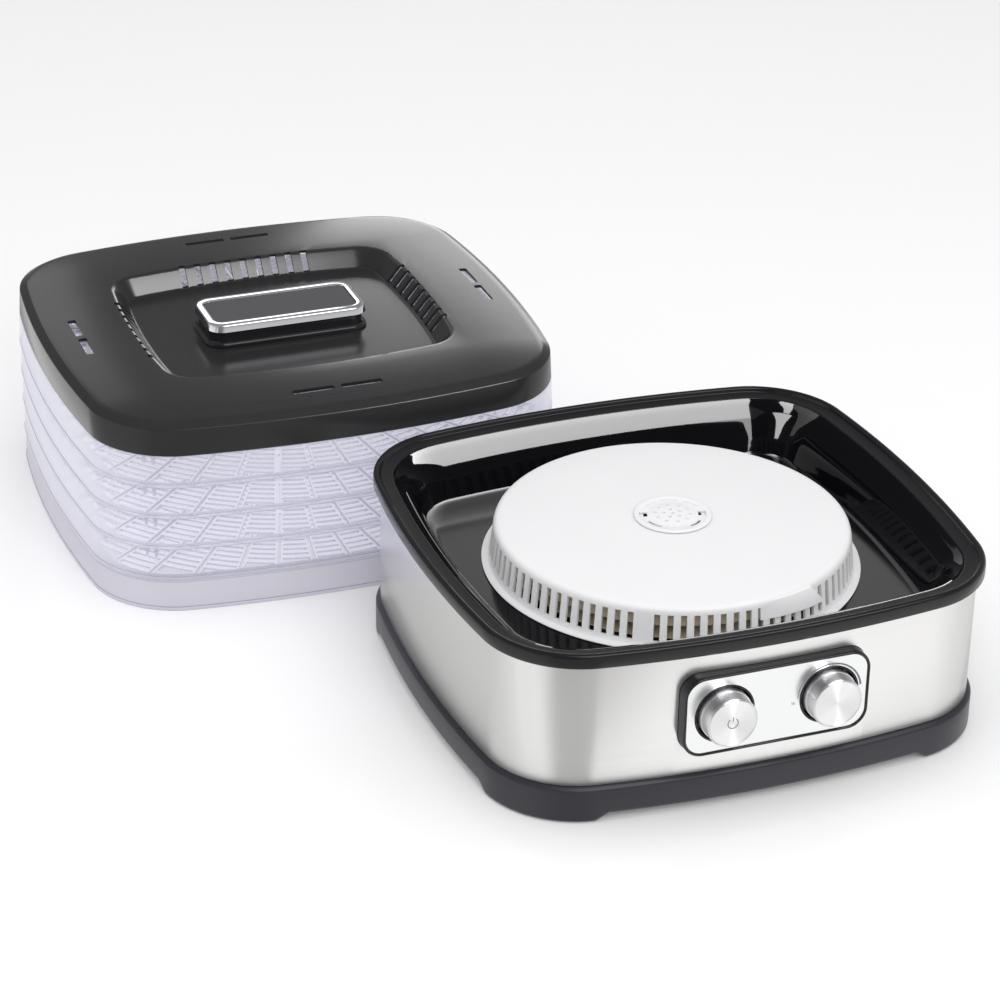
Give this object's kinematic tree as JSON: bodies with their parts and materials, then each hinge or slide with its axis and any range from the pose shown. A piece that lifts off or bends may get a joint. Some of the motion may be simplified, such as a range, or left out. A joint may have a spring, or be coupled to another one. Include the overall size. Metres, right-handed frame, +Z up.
{
  "type": "food dehydrator",
  "caption": "Square-footed food dehydrator: heated fan base with a round vented cover and two front controls, stacking clear trays with slotted grids, vented lid with a recessed handle.",
  "frame": {"origin": "middle of the whole arrangement (base and lifted-off stack), on the surface it stands on", "axes": "+Z up; the control panel faces -Y; the stack of trays stands behind the base, towards +Y and -X"},
  "size_m": [0.5106, 0.6786, 0.1467],
  "materials": {
    "black_plastic": "satin moulded black plastic",
    "gloss_black": "glossy black plastic",
    "brushed_steel": "stainless steel, brushed along its length",
    "white_plastic": "white plastic, low gloss",
    "clear_plastic": "clear plastic with a faint violet tint",
    "chrome": "polished chrome plating",
    "silver_plate": "silver plate, satin",
    "spun_aluminium": "aluminium with a spun face",
    "dark_inlay": "dark grey satin inlay",
    "rubber": "black rubber",
    "mica": "tan mica board",
    "heater_wire": "resistance wire, dull",
    "zinc_steel": "zinc-plated steel",
    "switch_plastic": "off-white moulded plastic",
    "lead_insulation": "silicone insulation"
  },
  "bodies": {
    "base": {"bottom_housing": "black_plastic", "intake_grille": "black_plastic", "steel_band": "brushed_steel", "rim_frame": "black_plastic", "inner_well": "gloss_black", "fan_cover": "white_plastic", "vent_cap": "white_plastic", "mica_shield": "mica", "heater_frame": "mica", "heater_coil": "heater_wire", "thermal_cutout": "zinc_steel", "motor_bracket": "zinc_steel", "motor_body": "zinc_steel", "panel_bezel": "gloss_black", "panel_plate": "silver_plate", "button_collar": "gloss_black", "knob_collar": "gloss_black", "power_switch_body": "switch_plastic", "thermostat_body": "switch_plastic", "power_inlet": "black_plastic", "terminal_block": "switch_plastic", "inlet_lead": "lead_insulation", "switch_lead": "lead_insulation", "motor_lead": "lead_insulation", "foot_pad_1": "rubber", "foot_pad_2": "rubber", "foot_pad_3": "rubber", "foot_pad_4": "rubber", "housing_screw_1": "zinc_steel", "housing_screw_2": "zinc_steel", "housing_screw_3": "zinc_steel", "housing_screw_4": "zinc_steel"},
    "fan": {"motor_shaft": "zinc_steel", "fan_impeller": "zinc_steel", "impeller_nut": "zinc_steel"},
    "knob": {"temp_knob": "spun_aluminium", "thermostat_spindle": "zinc_steel"},
    "button": {"power_button": "spun_aluminium", "button_plunger": "switch_plastic"},
    "tray_5_body": {"tray_5": "clear_plastic"},
    "tray_4_body": {"tray_4": "clear_plastic"},
    "tray_3_body": {"tray_3": "clear_plastic"},
    "tray_2_body": {"tray_2": "clear_plastic"},
    "tray_1_body": {"tray_1": "clear_plastic"},
    "lid_body": {"lid": "black_plastic", "handle_base": "black_plastic", "handle_trim": "chrome", "handle_inlay": "dark_inlay", "handle_screw_1": "zinc_steel", "handle_screw_2": "zinc_steel"}
  },
  "joints": [
    {"name": "fan_spin", "type": "hinge", "parent": "base", "child": "fan", "pos_m": [0.0803, -0.1601, 0.09], "axis": [0, 0, 1], "continuous": true},
    {"name": "knob_turn", "type": "hinge", "parent": "base", "child": "knob", "pos_m": [0.1153, -0.3267, 0.0689], "axis": [0, 1, 0], "range_deg": [0, 180]},
    {"name": "button_press", "type": "slide", "parent": "base", "child": "button", "axis": [0, 1, 0], "range_m": [0, 0.003], "stiffness_N_per_m": 600},
    {"name": "tray_5_lift", "type": "slide", "parent": "base", "child": "tray_5_body", "axis": [0, 0, 1], "range_m": [0, 0.15]},
    {"name": "tray_4_lift", "type": "slide", "parent": "tray_5_body", "child": "tray_4_body", "axis": [0, 0, 1], "range_m": [0, 0.06]},
    {"name": "tray_3_lift", "type": "slide", "parent": "tray_4_body", "child": "tray_3_body", "axis": [0, 0, 1], "range_m": [0, 0.06]},
    {"name": "tray_2_lift", "type": "slide", "parent": "tray_3_body", "child": "tray_2_body", "axis": [0, 0, 1], "range_m": [0, 0.06]},
    {"name": "tray_1_lift", "type": "slide", "parent": "tray_2_body", "child": "tray_1_body", "axis": [0, 0, 1], "range_m": [0, 0.06]},
    {"name": "lid_lift", "type": "slide", "parent": "tray_1_body", "child": "lid_body", "axis": [0, 0, 1], "range_m": [0, 0.08]}
  ]
}
